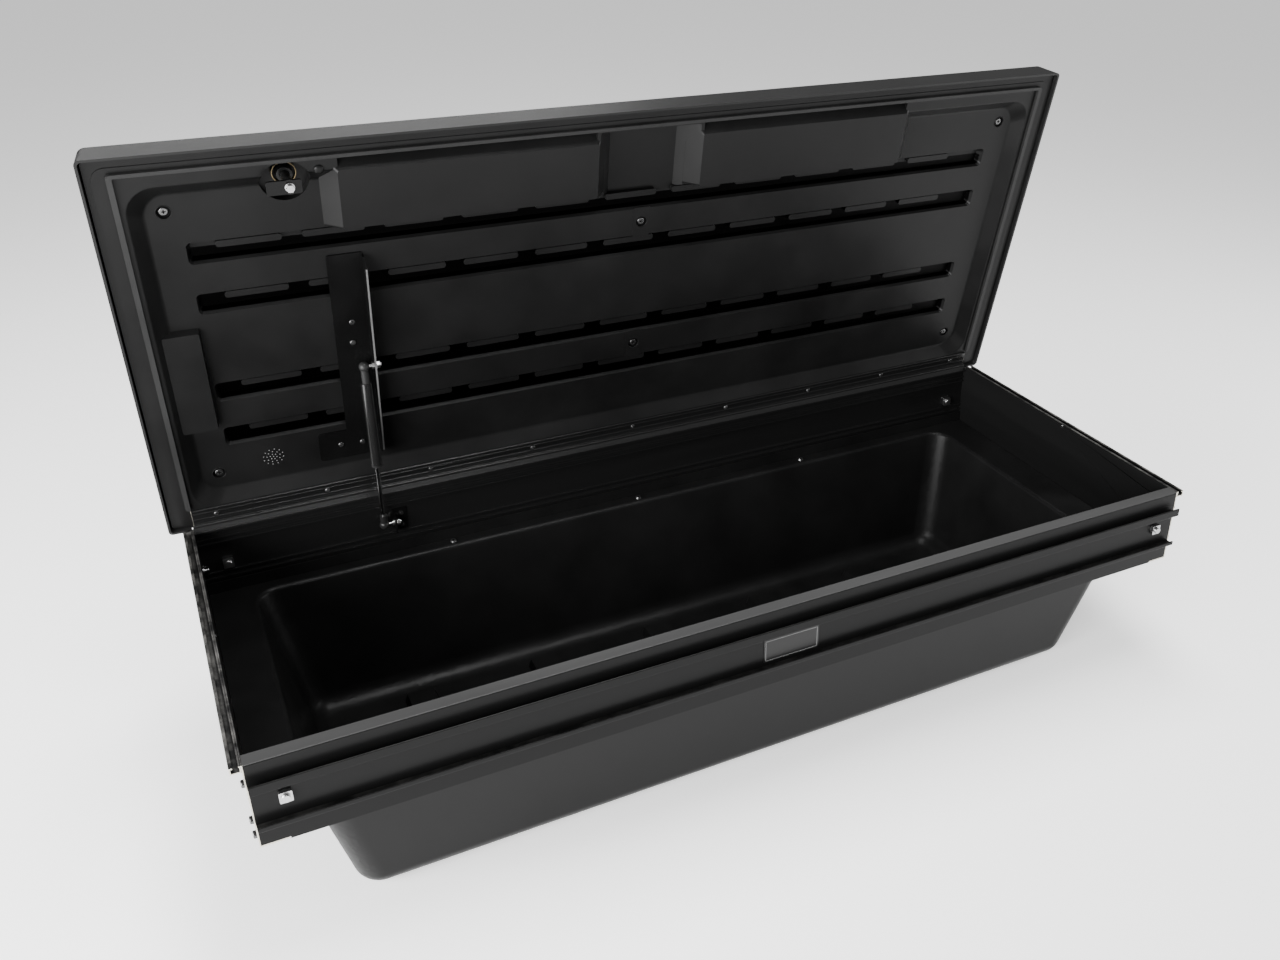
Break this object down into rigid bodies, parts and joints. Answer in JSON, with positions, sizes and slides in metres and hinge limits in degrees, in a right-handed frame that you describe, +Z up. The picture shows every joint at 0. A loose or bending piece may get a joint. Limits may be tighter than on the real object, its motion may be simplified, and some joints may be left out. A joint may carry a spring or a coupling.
{
  "type": "truck tool box",
  "caption": "Crossover tool box for a pickup bed: a drafted plastic tub hung in a rail frame, with a hinged lid held by a gas strut and a turning cam lock.",
  "frame": {"origin": "middle of the tub's flat underside", "axes": "+Z up out of the tub, +X along the hinge to the right seen from the front, +Y from the front rail to the hinge"},
  "size_m": [1.566, 0.6674, 0.9778],
  "materials": {
    "tub_plastic": "satin moulded polyethylene with a fine grain",
    "lid_plastic": "satin moulded plastic",
    "liner_plastic": "satin moulded plastic with a fine grain",
    "rail_black": "satin black powder coat, bare at the sawn ends",
    "strip_grey": "flat grey strip",
    "black_fastener": "black coated",
    "bright_steel": "bright zinc plate",
    "badge_black": "gloss, blank",
    "bracket_black": "semi-gloss black",
    "seal_rubber": "matt",
    "lock_black": "semi-gloss",
    "lock_brass": "bright, a little dull",
    "socket_black": "satin",
    "strut_black": "gloss black",
    "strut_chrome": "polished"
  },
  "bodies": {
    "frame": {"tub": "tub_plastic", "tub_screws": "black_fastener", "front_rail": "rail_black", "front_seal_strip": "strip_grey", "rear_rail": "rail_black", "left_rail": "rail_black", "right_rail": "rail_black", "left_slot_track": "rail_black", "right_slot_track": "rail_black", "corner_screws": "black_fastener", "side_rivets": "black_fastener", "mounting_bolts": "bright_steel", "mounting_nuts": "bright_steel", "badge_plate": "badge_black", "strut_lower_bracket": "bracket_black", "lower_bracket_rivets": "black_fastener", "lower_ball_stud": "bright_steel", "lower_stud_nut": "bright_steel"},
    "lid": {"lid_shell": "lid_plastic", "lid_liner": "liner_plastic", "lid_hinge_leaf": "rail_black", "hinge_rivets": "black_fastener", "liner_screws": "black_fastener", "lid_seal": "seal_rubber", "strut_lid_bracket": "bracket_black", "lid_bracket_rivets": "black_fastener", "upper_ball_stud": "bright_steel", "upper_stud_nut": "bright_steel", "latch_housing": "lock_black", "latch_ring_nut": "lock_brass"},
    "lock": {"latch_spindle": "lock_black", "latch_knob": "lock_black", "latch_cam": "bracket_black", "cam_bolt": "bright_steel"},
    "strut_tube": {"upper_ball_socket": "socket_black", "strut_cylinder": "strut_black", "cylinder_gland": "socket_black"},
    "strut_rod": {"lower_ball_socket": "socket_black", "strut_rod": "strut_chrome"}
  },
  "joints": [
    {"name": "lid_hinge", "type": "hinge", "parent": "frame", "child": "lid", "pos_m": [0, 0.294, 0.359], "axis": [1, 0, 0], "range_deg": [0, 77], "stiffness_Nm_per_rad": 8, "springref_deg": -57.3},
    {"name": "lock_turn", "type": "hinge", "parent": "lid", "child": "lock", "pos_m": [-0.536, 0.16533, 0.91634], "axis": [0, 0.9744, 0.225], "range_deg": [0, 90]},
    {"name": "strut_tube_pivot", "type": "hinge", "parent": "lid", "child": "strut_tube", "pos_m": [-0.461, 0.24668, 0.59952], "axis": [1, 0, 0], "range_deg": [-10.2, 0]},
    {"name": "strut_rod_pivot", "type": "hinge", "parent": "frame", "child": "strut_rod", "pos_m": [-0.461, 0.278, 0.297], "axis": [1, 0, 0], "range_deg": [0, 67.1]}
  ],
  "couplings": [
    {"joint": "strut_tube_pivot", "follows": "lid_hinge", "ratio": -0.131},
    {"joint": "strut_rod_pivot", "follows": "lid_hinge", "ratio": 0.869}
  ]
}
